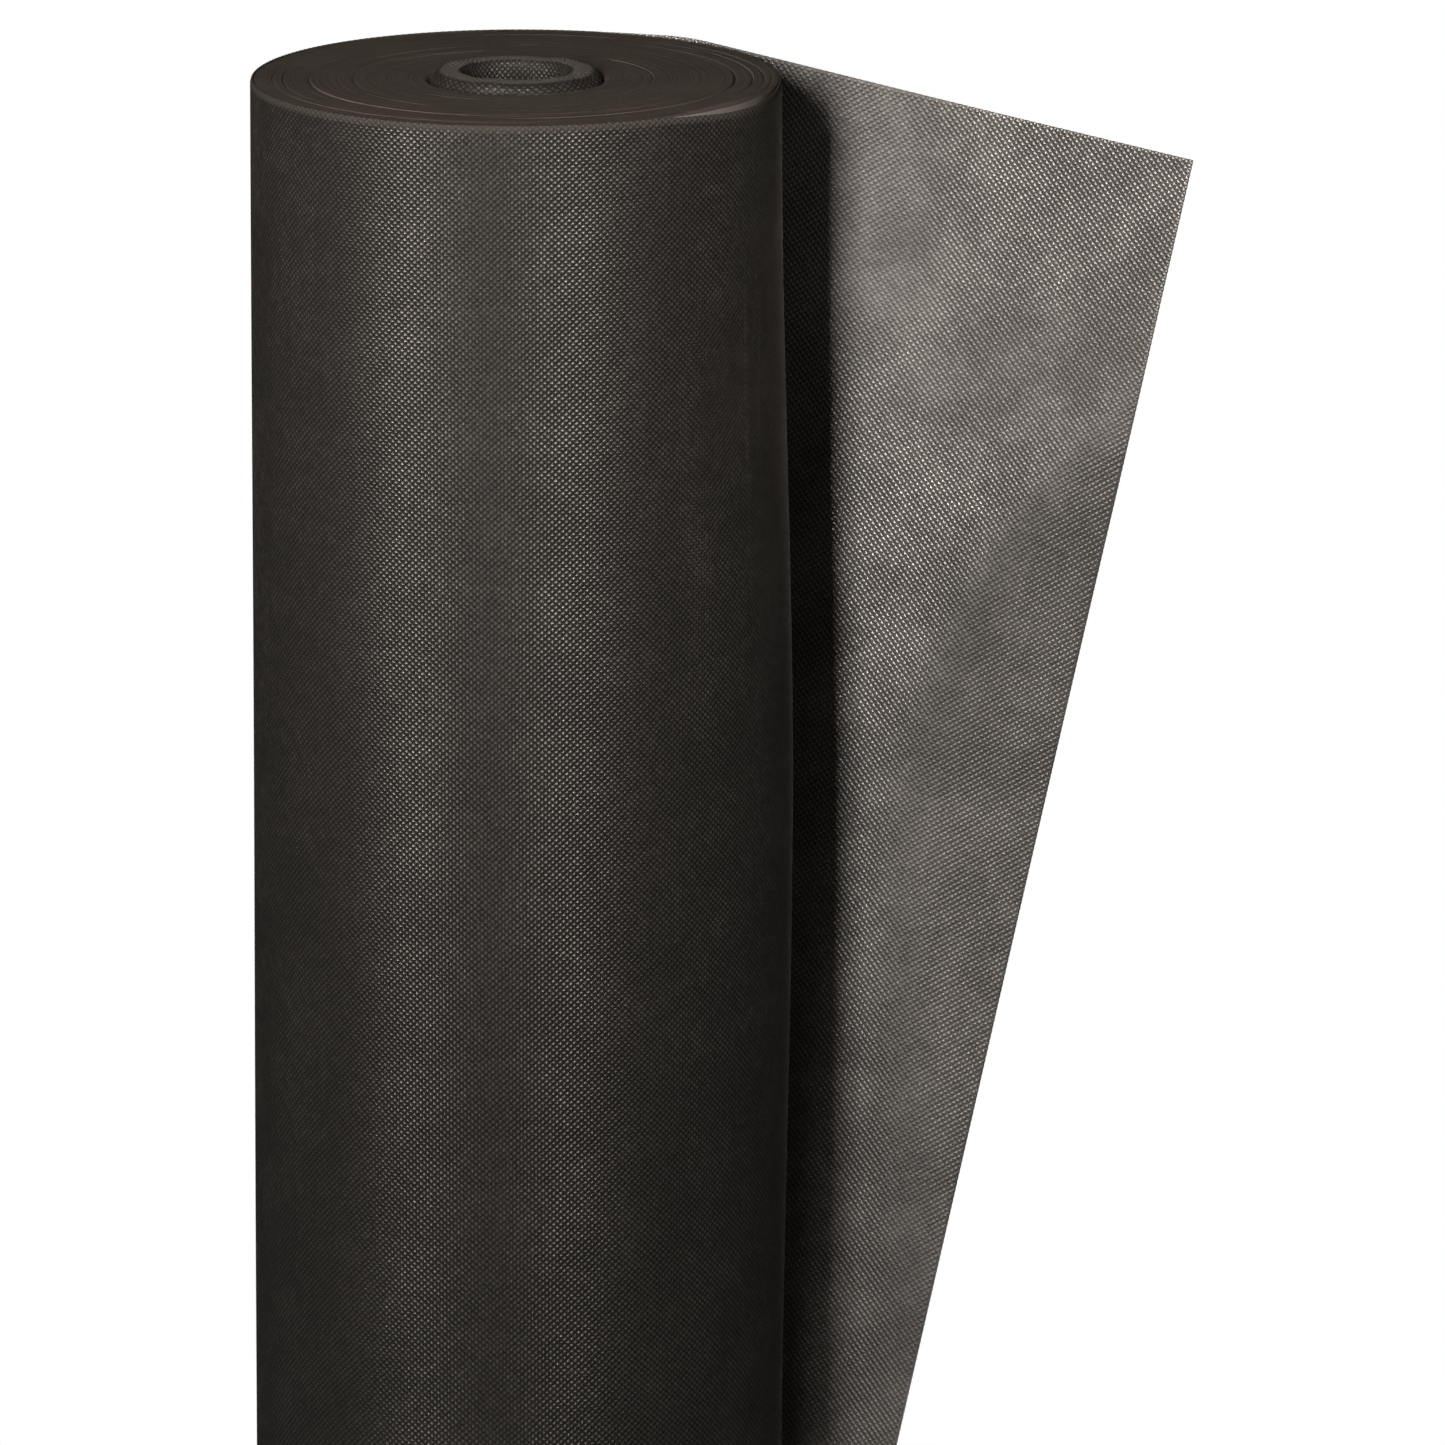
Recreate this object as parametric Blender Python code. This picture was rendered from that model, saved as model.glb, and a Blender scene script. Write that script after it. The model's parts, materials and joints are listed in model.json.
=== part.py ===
"""Roll of weed control fabric, standing on end, with the loose end of the web held out.

Metres, +Z up. The roll stands on z = 0. The web is one long strip of non-woven fabric wound on a
cardboard tube, and its loose end leaves the roll at the back and hangs out to the right.
The origin is the centre of the whole footprint, so the roll's own axis stands beside it.
"""

import math

import bmesh
import bpy
import numpy as np
from mathutils import Vector

# The roll
ROLL_DIAMETER = 0.160
WEB_WIDTH = 1.000
WEB_THICKNESS = 0.0004
FIT_GAP = 0.0003

# The cardboard tube and the fabric collars that line its two ends
BORE_DIAMETER = 0.032
COLLAR_LINING = 0.0017
COLLAR_LINING_LENGTH = 0.060
COLLAR_SKIRT = 0.0032
COLLAR_SKIRT_LENGTH = 0.045
LIP_RISE = 0.0025
LIP_ROUND_HEIGHT = 0.005
LOWER_LIP_RECESS = 0.0005
TUBE_WALL = 0.004
TUBE_END_RECESS = 0.003
CREVICE_WIDTH = 0.0007
CREVICE_DEPTH = 0.004

# The adhesive strip under the first turn
TAPE_THICKNESS = 0.0003
TAPE_WIDTH = 0.025
TAPE_END_MARGIN = 0.020

# The outer turns, one unbroken spiral sheet
OUTER_TURNS = 8
TURN_GAP = 0.00045
LOOSE_LIFT = 0.0010
LOOSE_FROM = math.radians(300)
LOOSE_TO = math.radians(378)

# The dark groove on each end of the winding
GROOVE_INSET = 0.0105
GROOVE_WIDTH = 0.0009
GROOVE_DEPTH = 0.0014

# The loose end: where it leaves the roll, how far it reaches and how its two edges slant
LEAVING_ANGLE = math.radians(72)
FLAP_REACH = 0.188
FALL_START = 0.020
FALL_BLEND = 0.015
TOP_EDGE_TILT = math.radians(10.15)
END_EDGE_TILT = math.radians(12.87)

# The bend lines of the loose end
STRIP_COUNT = 4
CURL_ANGLE = math.radians(26)
CURL_CLEARANCE = 0.003
BEND_SETBACK = 0.00035

# How finely round shapes are divided
ROLL_STEPS = 60
BORE_STEPS = 36
LIP_STEPS = 8
TAPE_STEPS = 6

# What follows from these sizes
roll_radius = ROLL_DIAMETER / 2
bore_radius = BORE_DIAMETER / 2
lining_outer = bore_radius + COLLAR_LINING
tube_inner = lining_outer + FIT_GAP
tube_outer = tube_inner + TUBE_WALL
skirt_inner = tube_outer + FIT_GAP
skirt_outer = skirt_inner + COLLAR_SKIRT
tape_inner = tube_outer + FIT_GAP
tape_outer = tape_inner + TAPE_THICKNESS
web_bore = tape_outer + FIT_GAP
web_mouth = skirt_outer + FIT_GAP
turn_pitch = WEB_THICKNESS + TURN_GAP
outer_middle = roll_radius - WEB_THICKNESS / 2
web_outer = roll_radius - WEB_THICKNESS - OUTER_TURNS * turn_pitch - FIT_GAP
groove_radius = web_outer - GROOVE_INSET
first_bend = (roll_radius + CURL_CLEARANCE - roll_radius * math.cos(CURL_ANGLE)) / math.sin(CURL_ANGLE)
strip_length = (FLAP_REACH - first_bend) / STRIP_COUNT


def clear_scene():
    """Start from an empty scene."""
    for item in list(bpy.data.objects):
        bpy.data.objects.remove(item, do_unlink=True)


def make_material(name, colour, roughness):
    """A plain Principled material."""
    material = bpy.data.materials.new(name)
    material.use_nodes = True
    shader = material.node_tree.nodes["Principled BSDF"]
    shader.inputs["Base Color"].default_value = (*colour, 1.0)
    shader.inputs["Roughness"].default_value = roughness
    material.diffuse_color = (*colour, 1.0)
    return material


def make_object(name, shape, material, parent):
    """Turn a bmesh into a named object with its faces pointing out."""
    bmesh.ops.recalc_face_normals(shape, faces=shape.faces)
    mesh = bpy.data.meshes.new(name)
    shape.to_mesh(mesh)
    shape.free()
    mesh.shade_smooth()
    mesh.set_sharp_from_angle(angle=math.radians(35))
    mesh.materials.append(material)
    item = bpy.data.objects.new(name, mesh)
    bpy.context.collection.objects.link(item)
    item.parent = parent
    return item


def make_empty(name, parent, place=(0, 0, 0), turn=0.0):
    """An empty that carries pieces, such as a bend line."""
    empty = bpy.data.objects.new(name, None)
    bpy.context.collection.objects.link(empty)
    empty.parent = parent
    empty.location = place
    empty.rotation_euler.z = turn
    return empty


def turned(name, outline, steps, material, parent):
    """A ring, made by spinning a closed outline of (radius, height) points about Z."""
    shape = bmesh.new()
    corners = [shape.verts.new((radius, 0, height)) for radius, height in outline]
    edges = [shape.edges.new((corners[i - 1], corners[i])) for i in range(len(corners))]
    bmesh.ops.spin(
        shape, geom=corners + edges, cent=(0, 0, 0), axis=(0, 0, 1),
        angle=math.tau, steps=steps, use_merge=True,
    )
    return make_object(name, shape, material, parent)


def lofted(name, sections, material, parent):
    """A closed body through a row of four-cornered sections, with a cap at each end."""
    shape = bmesh.new()
    rows = [[shape.verts.new(point) for point in section] for section in sections]
    for before, after in zip(rows, rows[1:]):
        for i in range(len(before)):
            shape.faces.new((before[i - 1], before[i], after[i], after[i - 1]))
    shape.faces.new(rows[0])
    shape.faces.new(reversed(rows[-1]))
    return make_object(name, shape, material, parent)


def plate(name, outline, thickness, material, parent):
    """A flat sheet: an outline of (along, height) points, extruded to its thickness."""
    shape = bmesh.new()
    corners = [shape.verts.new((along, -thickness / 2, height)) for along, height in outline]
    face = shape.faces.new(corners)
    grown = bmesh.ops.extrude_face_region(shape, geom=[face])["geom"]
    moved = [part for part in grown if isinstance(part, bmesh.types.BMVert)]
    bmesh.ops.translate(shape, verts=moved, vec=(0, thickness, 0))
    return make_object(name, shape, material, parent)


def top_edge(along):
    """Height of the web's upper edge at a distance from where it leaves the roll."""
    fallen = along - FALL_START
    slope = math.tan(TOP_EDGE_TILT)
    if fallen <= 0:
        return WEB_WIDTH
    if fallen < FALL_BLEND:
        return WEB_WIDTH - slope * fallen ** 2 / (2 * FALL_BLEND)
    return WEB_WIDTH - slope * (fallen - FALL_BLEND / 2)


def end_edge(along):
    """Height of the web's cut end, which slants down and back from its far corner."""
    drop = (FLAP_REACH - along) / math.tan(END_EDGE_TILT)
    return max(0.0, top_edge(FLAP_REACH) - drop)


def end_edge_foot():
    """Distance at which the cut end reaches the foot of the roll."""
    return FLAP_REACH - top_edge(FLAP_REACH) * math.tan(END_EDGE_TILT)


def middle_radius(angle):
    """Radius of the spiral sheet's middle, at an angle run inward from the leaving line."""
    radius = outer_middle - turn_pitch * angle / math.tau
    place = LEAVING_ANGLE + angle
    if LOOSE_FROM < place < LOOSE_TO:
        share = (place - LOOSE_FROM) / (LOOSE_TO - LOOSE_FROM)
        radius += LOOSE_LIFT * math.sin(math.pi * share) ** 2
    return radius


def spiral_angles():
    """Angles of the spiral's sections, with one where the cut end meets the foot."""
    angles = [math.tau * i / ROLL_STEPS for i in range(OUTER_TURNS * ROLL_STEPS + 1)]
    foot = -end_edge_foot() / outer_middle
    step = math.tau / ROLL_STEPS
    if foot > 0:
        angles = [angle for angle in angles if abs(angle - foot) > step / 4 or angle == 0]
        angles.append(foot)
    return sorted(angles)


def spiral_section(angle):
    """The four corners of the spiral sheet at one angle."""
    place = LEAVING_ANGLE + angle
    outward = Vector((math.cos(place), math.sin(place), 0))
    low = end_edge(-angle * outer_middle)
    near = outward * (middle_radius(angle) - WEB_THICKNESS / 2)
    far = outward * (middle_radius(angle) + WEB_THICKNESS / 2)
    up = Vector((0, 0, 1))
    return [near + up * low, far + up * low, far + up * WEB_WIDTH, near + up * WEB_WIDTH]


def least_turn_gap():
    """The least gap between one turn of the spiral and the next, measured on points."""
    angles = np.linspace(0, math.tau * OUTER_TURNS, OUTER_TURNS * ROLL_STEPS + 1)
    radii = np.array([middle_radius(angle) for angle in angles])
    places = angles + LEAVING_ANGLE
    points = np.stack([radii * np.cos(places), radii * np.sin(places)], axis=1)
    least = math.inf
    for i in range(len(points) - ROLL_STEPS):
        first = points[i + ROLL_STEPS - 1]
        middle = points[i + ROLL_STEPS]
        side = middle - first
        offset = points[i] - first
        across = abs(side[0] * offset[1] - side[1] * offset[0]) / np.linalg.norm(side)
        least = min(least, across - WEB_THICKNESS)
    return least


def make_core_tube(material, parent):
    """The cardboard tube, a little shorter than the web is wide."""
    low = LOWER_LIP_RECESS + TUBE_END_RECESS
    high = WEB_WIDTH - TUBE_END_RECESS
    outline = [(tube_inner, low), (tube_outer, low), (tube_outer, high), (tube_inner, high)]
    return turned("core_tube", outline, BORE_STEPS, material, parent)


def collar_outline(end, tube_end, upward):
    """A collar folded over the tube's end: lining inside, round lip, skirt outside."""
    middle = (bore_radius + skirt_outer) / 2
    half = (skirt_outer - bore_radius) / 2
    shoulder = end - upward * LIP_ROUND_HEIGHT
    outline = [(lining_outer, end - upward * COLLAR_LINING_LENGTH)]
    outline.append((bore_radius, end - upward * COLLAR_LINING_LENGTH))
    for i in range(LIP_STEPS + 1):
        turn = math.pi * i / LIP_STEPS
        height = shoulder + upward * LIP_ROUND_HEIGHT * math.sin(turn)
        outline.append((middle - half * math.cos(turn), height))
    outline.append((skirt_outer, end - upward * COLLAR_SKIRT_LENGTH))
    outline.append((skirt_inner, end - upward * COLLAR_SKIRT_LENGTH))
    outline.append((skirt_inner, tube_end + upward * FIT_GAP))
    outline.append((lining_outer, tube_end + upward * FIT_GAP))
    return outline


def make_collars(material, parent):
    """The fabric collars tucked into the two ends of the bore."""
    upper = collar_outline(WEB_WIDTH + LIP_RISE, WEB_WIDTH - TUBE_END_RECESS, 1)
    turned("tucked_collar_top", upper, BORE_STEPS, material, parent)
    lower = collar_outline(LOWER_LIP_RECESS, LOWER_LIP_RECESS + TUBE_END_RECESS, -1)
    turned("tucked_collar_bottom", lower, BORE_STEPS, material, parent)


def make_start_tape(material, parent):
    """The adhesive strip along the tube that holds the first turn of the web."""
    low = LOWER_LIP_RECESS + COLLAR_SKIRT_LENGTH + TAPE_END_MARGIN
    high = WEB_WIDTH + LIP_RISE - COLLAR_SKIRT_LENGTH - TAPE_END_MARGIN
    sections = []
    for i in range(TAPE_STEPS + 1):
        turn = LEAVING_ANGLE + TAPE_WIDTH / tube_outer * (i / TAPE_STEPS - 0.5)
        outward = Vector((math.cos(turn), math.sin(turn), 0))
        near = outward * tape_inner
        far = outward * tape_outer
        foot = Vector((0, 0, low))
        head = Vector((0, 0, high))
        sections.append([near + foot, far + foot, far + head, near + head])
    return lofted("start_tape", sections, material, parent)


def make_wound_web(material, parent):
    """The tight inner winding, with a wider mouth for the collar and a groove at each end."""
    lower_mouth = LOWER_LIP_RECESS + COLLAR_SKIRT_LENGTH + FIT_GAP
    upper_mouth = WEB_WIDTH + LIP_RISE - COLLAR_SKIRT_LENGTH - FIT_GAP
    half = GROOVE_WIDTH / 2
    outline = [
        (web_mouth + CREVICE_WIDTH, 0.0),
        (groove_radius - half, 0.0),
        (groove_radius, GROOVE_DEPTH),
        (groove_radius + half, 0.0),
        (web_outer, 0.0),
        (web_outer, WEB_WIDTH),
        (groove_radius + half, WEB_WIDTH),
        (groove_radius, WEB_WIDTH - GROOVE_DEPTH),
        (groove_radius - half, WEB_WIDTH),
        (web_mouth + CREVICE_WIDTH, WEB_WIDTH),
        (web_mouth, WEB_WIDTH - CREVICE_DEPTH),
        (web_mouth, upper_mouth),
        (web_bore, upper_mouth),
        (web_bore, lower_mouth),
        (web_mouth, lower_mouth),
        (web_mouth, CREVICE_DEPTH),
    ]
    return turned("wound_web", outline, ROLL_STEPS, material, parent)


def make_outer_turns(material, parent):
    """The outer turns: one unbroken spiral sheet that ends at the leaving line."""
    sections = [spiral_section(angle) for angle in spiral_angles()]
    return lofted("outer_turns", sections, material, parent)


def strip_outline(start, stop, origin):
    """Outline of the loose web between two distances, measured from an origin on it."""
    upper = [start, stop]
    for i in range(1, 4):
        bend = FALL_START + FALL_BLEND * i / 3
        if start < bend < stop:
            upper.append(bend)
    lower = [start, stop]
    if start < end_edge_foot() < stop:
        lower.append(end_edge_foot())
    outline = [(along - origin, end_edge(along)) for along in sorted(lower)]
    tip_closed = top_edge(stop) - end_edge(stop) < WEB_THICKNESS
    for along in sorted(upper, reverse=True):
        if not (along == stop and tip_closed):
            outline.append((along - origin, top_edge(along)))
    return outline


def make_loose_end(material, parent):
    """The loose end: a root fast to the roll, then strips that bend about upright lines."""
    outward = Vector((math.cos(LEAVING_ANGLE), math.sin(LEAVING_ANGLE), 0))
    leaving = make_empty("leaving_line", parent, outward * outer_middle, LEAVING_ANGLE - math.pi / 2)
    root = strip_outline(FIT_GAP, first_bend - BEND_SETBACK, 0)
    plate("flap_root", root, WEB_THICKNESS, material, leaving)
    bend = leaving
    step = first_bend
    lines = []
    for i in range(STRIP_COUNT):
        origin = first_bend + i * strip_length
        bend = make_empty(f"bend_line_{i + 1}", bend, (step, 0, 0))
        last = i == STRIP_COUNT - 1
        stop = origin + strip_length - (0 if last else BEND_SETBACK)
        outline = strip_outline(origin + BEND_SETBACK, stop, origin)
        plate(f"flap_strip_{i + 1}", outline, WEB_THICKNESS, material, bend)
        step = strip_length
        lines.append(bend)
    return lines


def centre_footprint(frame):
    """Move the whole part so that its footprint is centred on the origin."""
    bpy.context.view_layer.update()
    corners = []
    for item in bpy.data.objects:
        if item.type == "MESH":
            corners.extend(item.matrix_world @ vertex.co for vertex in item.data.vertices)
    spans = np.array(corners)
    middle = (spans.min(axis=0) + spans.max(axis=0)) / 2
    frame.location = (-middle[0], -middle[1], 0)
    bpy.context.view_layer.update()
    size = spans.max(axis=0) - spans.min(axis=0)
    print("overall size", [round(float(value), 5) for value in size])


def main():
    clear_scene()
    fabric = make_material("embossed_fabric", (0.045, 0.045, 0.048), 0.85)
    collar = make_material("tucked_fabric", (0.055, 0.055, 0.058), 0.85)
    cardboard = make_material("cardboard", (0.36, 0.26, 0.16), 0.9)
    tape = make_material("adhesive_strip", (0.62, 0.55, 0.40), 0.4)
    frame = make_empty("roll_axis", None)
    make_core_tube(cardboard, frame)
    make_start_tape(tape, frame)
    make_collars(collar, frame)
    make_wound_web(fabric, frame)
    make_outer_turns(fabric, frame)
    lines = make_loose_end(fabric, frame)
    centre_footprint(frame)
    print("roll axis", [round(value, 5) for value in frame.location])
    for line in lines:
        print(line.name, [round(value, 5) for value in line.matrix_world.translation])
    print("least gap between turns", round(least_turn_gap() * 1000, 3), "mm")


main()
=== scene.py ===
# %% [markdown]
# A roll of weed control fabric stands on end, and its loose end is pulled out at one side. The real thing
# is one long strip of black non-woven cloth, wound on a cardboard tube. Hot rollers have pressed a diamond
# pattern into the cloth, so it is covered with small pillows. Those pillows are what the eye reads as
# "fabric" here, and this script models each of them on the cloth that shows. The construction comes from
# the frame and stays as it is.

# %% Load the frame
import json
import math

import bmesh
import bpy
import numpy as np
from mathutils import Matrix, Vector


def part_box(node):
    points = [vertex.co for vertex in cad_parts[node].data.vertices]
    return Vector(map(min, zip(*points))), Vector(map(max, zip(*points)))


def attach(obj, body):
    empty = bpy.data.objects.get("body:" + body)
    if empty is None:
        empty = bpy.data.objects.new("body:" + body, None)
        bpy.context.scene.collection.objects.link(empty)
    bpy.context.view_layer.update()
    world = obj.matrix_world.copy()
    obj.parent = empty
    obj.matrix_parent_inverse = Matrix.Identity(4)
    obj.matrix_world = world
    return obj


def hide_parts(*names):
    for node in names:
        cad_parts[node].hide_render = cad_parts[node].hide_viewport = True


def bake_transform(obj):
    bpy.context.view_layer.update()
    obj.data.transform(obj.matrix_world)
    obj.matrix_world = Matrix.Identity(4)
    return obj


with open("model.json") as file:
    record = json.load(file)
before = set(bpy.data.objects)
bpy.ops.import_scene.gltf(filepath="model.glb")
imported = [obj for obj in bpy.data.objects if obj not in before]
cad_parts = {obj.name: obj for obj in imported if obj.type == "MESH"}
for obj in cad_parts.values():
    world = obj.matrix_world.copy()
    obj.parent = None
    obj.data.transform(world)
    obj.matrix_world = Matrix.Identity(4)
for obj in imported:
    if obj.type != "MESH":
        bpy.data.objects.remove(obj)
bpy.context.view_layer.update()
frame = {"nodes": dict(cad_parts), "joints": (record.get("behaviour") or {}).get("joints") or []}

# %% [markdown]
# Everything is placed from the frame. The tube gives the roll's axis, the outer turns give the web's
# height, and the hinges lie along the loose end, so they give its direction. The line where the web leaves
# the roll is where that direction touches the roll.

# %% Places and sizes read from the frame
tube_low, tube_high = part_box("core_tube")
AXIS = Vector(((tube_low.x + tube_high.x) / 2, (tube_low.y + tube_high.y) / 2, 0))
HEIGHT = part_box("outer_turns")[1].z
bends = [Vector(joint["pos_m"]) for joint in frame["joints"]]
ALONG = (bends[-1] - bends[0]).normalized()
OUT = Vector((-ALONG.y, ALONG.x, 0))
RADIUS = (bends[0] - AXIS).dot(OUT)
LEAVING = AXIS + OUT * RADIUS
LEAVING_AZIMUTH = math.atan2(OUT.y, OUT.x)
bend_places = [(bend - LEAVING).dot(ALONG) for bend in bends]

last_strip = [Vector(v.co) for v in frame["nodes"]["flap_strip_4"].data.vertices]
REACH = max((co - LEAVING).dot(ALONG) for co in last_strip)
CORNER_HEIGHT = max(co.z for co in last_strip if (co - LEAVING).dot(ALONG) > REACH - 1e-4)
print("roll radius", round(RADIUS, 5), "reach", round(REACH, 4), "corner", round(CORNER_HEIGHT, 4))

# %% Sizes of the cloth
CELL_WIDTH = 0.00216
ROWS = 521
CELL_HEIGHT = HEIGHT / ROWS
PILLOW = 0.00040
NEAR_PILLOW = 0.00015
CLOTH = 0.0002
TOP_TILT = math.radians(10.15)
END_TILT = math.radians(12.87)
TURN_PITCH = 0.0007

# %% [markdown]
# The cloth is modelled flat, as it comes off the embossing rollers, and is wound or hung afterwards. A grid
# gets one face for each cell. Poking the faces puts a vertex in each middle, and cutting the grid's own
# edges in half adds one on each edge. The grid's corners and middles then stay low, as the pressed grooves
# that run along both diagonals, and the vertices on the edges rise to be the tops of the pillows.


# %% Helpers for meshes
def places(mesh):
    """Every vertex's place, as rows of x, y and z."""
    found = np.empty(len(mesh.vertices) * 3, np.float32)
    mesh.vertices.foreach_get("co", found)
    return found.reshape(-1, 3).astype(float)


def put(mesh, found):
    """Moves every vertex to its row of x, y and z."""
    mesh.vertices.foreach_set("co", found.astype(np.float32).ravel())
    mesh.update()


def corner_vertices(mesh):
    """The vertex of each face corner."""
    corners = np.empty(len(mesh.loops), np.int32)
    mesh.loops.foreach_get("vertex_index", corners)
    return corners


def corner_counts(mesh):
    """The number of corners of each face."""
    counts = np.empty(len(mesh.polygons), np.int32)
    mesh.polygons.foreach_get("loop_total", counts)
    return counts


def edge_ends(mesh):
    """The two vertices of each edge."""
    ends = np.empty(len(mesh.edges) * 2, np.int32)
    mesh.edges.foreach_get("vertices", ends)
    return ends.reshape(-1, 2)


def mode(name):
    """Goes into object or edit mode."""
    bpy.ops.object.mode_set(mode=name)


def only(piece):
    """Makes one piece the only selected one, and the active one."""
    bpy.ops.object.select_all(action="DESELECT")
    piece.select_set(True)
    bpy.context.view_layer.objects.active = piece


def pick_faces(piece, chosen):
    """Selects faces by a list of true and false, and goes into edit mode."""
    only(piece)
    bpy.context.tool_settings.mesh_select_mode = (False, False, True)
    mesh = piece.data
    vertices = np.zeros(len(mesh.vertices), bool)
    vertices[corner_vertices(mesh)[np.repeat(chosen, corner_counts(mesh))]] = True
    mesh.vertices.foreach_set("select", vertices)
    mesh.edges.foreach_set("select", np.zeros(len(mesh.edges), bool))
    mesh.polygons.foreach_set("select", chosen)
    mode("EDIT")


def drop_faces(piece, chosen):
    """Deletes the chosen faces."""
    pick_faces(piece, chosen)
    bpy.ops.mesh.delete(type="FACE")
    mode("OBJECT")


def close_up(piece, threshold):
    """Merges vertices that lie together and points the faces outwards."""
    only(piece)
    mode("EDIT")
    bpy.ops.mesh.select_all(action="SELECT")
    bpy.ops.mesh.remove_doubles(threshold=threshold)
    bpy.ops.mesh.normals_make_consistent(inside=False)
    mode("OBJECT")


def flat_grid(name, columns, rows):
    """A flat grid, a metre wide and a metre tall."""
    bpy.ops.mesh.primitive_grid_add(x_subdivisions=columns, y_subdivisions=rows, size=1)
    grid = bpy.context.object
    grid.name = grid.data.name = name
    return grid


def thicken(piece, thickness):
    """Makes a sheet a closed solid that reaches back from it."""
    only(piece)
    solid = piece.modifiers.new("solid", "SOLIDIFY")
    solid.thickness = thickness
    solid.offset = -1
    bpy.ops.object.modifier_apply(modifier=solid.name)


def drop_maps(mesh):
    """Removes the maps that a primitive comes with."""
    for layer in list(mesh.uv_layers):
        mesh.uv_layers.remove(layer)


def copy_of(piece, name):
    """A copy of a piece with a mesh of its own."""
    made = piece.copy()
    made.data = piece.data.copy()
    made.name = made.data.name = name
    bpy.context.scene.collection.objects.link(made)
    return made


# %% The flat embossed cloth
def half_steps(found, left, low):
    """Which half cell each vertex of the flat cloth lies on, across and up."""
    across = np.rint((found[:, 0] - left) / (CELL_WIDTH / 2)).astype(int)
    up = np.rint((found[:, 1] - low) / (CELL_HEIGHT / 2)).astype(int)
    return across, up


def is_top(found, left, low):
    """Whether each vertex is the top of a pillow."""
    across, up = half_steps(found, left, low)
    return (across + up) % 2 == 1


def embossed_cloth(name, columns, rows, left, low, outside=None):
    """A flat sheet of cells, cut along the grooves and over the pillows' tops, which aren't raised yet."""
    cloth = flat_grid(name, columns, rows)
    found = places(cloth.data)
    found[:, 0] = left + (found[:, 0] + 0.5) * columns * CELL_WIDTH
    found[:, 1] = low + (found[:, 1] + 0.5) * rows * CELL_HEIGHT
    put(cloth.data, found)
    if outside is not None:
        middles = found[corner_vertices(cloth.data)].reshape(-1, 4, 3).mean(axis=1)
        drop_faces(cloth, outside(middles[:, 0], middles[:, 1]))
    pick_faces(cloth, np.ones(len(cloth.data.polygons), bool))
    bpy.ops.mesh.poke()
    mode("OBJECT")

    across, up = half_steps(places(cloth.data), left, low)
    corner = (across % 2 == 0) & (up % 2 == 0)
    grid_edges = corner[edge_ends(cloth.data)].all(axis=1)
    cloth.data.polygons.foreach_set("select", np.zeros(len(cloth.data.polygons), bool))
    cloth.data.vertices.foreach_set("select", corner)
    cloth.data.edges.foreach_set("select", grid_edges)
    bpy.context.tool_settings.mesh_select_mode = (False, True, False)
    mode("EDIT")
    bpy.ops.mesh.subdivide(number_cuts=1, ngon=False)
    mode("OBJECT")
    return cloth


def pillow_of_faces(cloth, left, low):
    """The place of the pillow's top that each triangle of the flat cloth leads up to."""
    found = places(cloth.data)
    triangles = corner_vertices(cloth.data).reshape(-1, 3)
    top = is_top(found, left, low)[triangles]
    return found[triangles[np.arange(len(triangles)), top.argmax(axis=1)]]


def crease_grooves(mesh, raised):
    """Marks every edge that runs along a groove or a rim sharp, so that each pillow is shaded by itself."""
    sharp = ~raised[edge_ends(mesh)].any(axis=1)
    mark = mesh.attributes.get("sharp_edge") or mesh.attributes.new("sharp_edge", "BOOLEAN", "EDGE")
    mark.data.foreach_set("value", sharp)
    mesh.polygons.foreach_set("use_smooth", np.ones(len(mesh.polygons), bool))


def add_map(mesh, name, across, up):
    """A UV map from a value across and a value up for every face corner."""
    layer = mesh.uv_layers.get(name) or mesh.uv_layers.new(name=name)
    layer.uv.foreach_set("vector", np.stack([across, up], axis=1).astype(np.float32).ravel())


# %% [markdown]
# The outermost turn is one turn and a little overlap. With every pillow on it, it would be too heavy as one
# piece, so it is made of six strips. One strip is modelled flat and copied. Its long sides follow the
# grooves in a zigzag instead of cutting pillows in two, so neighbours meet where the cloth has a line
# anyway. It is a closed sheet: its rim is extruded back and filled with a plain, coarse back that lies on
# the roll and never shows.

# %% A flat strip of the outermost web
STRIP_COLUMNS = 42
STRIPS = 6
BACK_COLUMNS = 3
strip_width = STRIP_COLUMNS * CELL_WIDTH
WEB_BACK = 0.0003
SNAP = 1e-6


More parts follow.
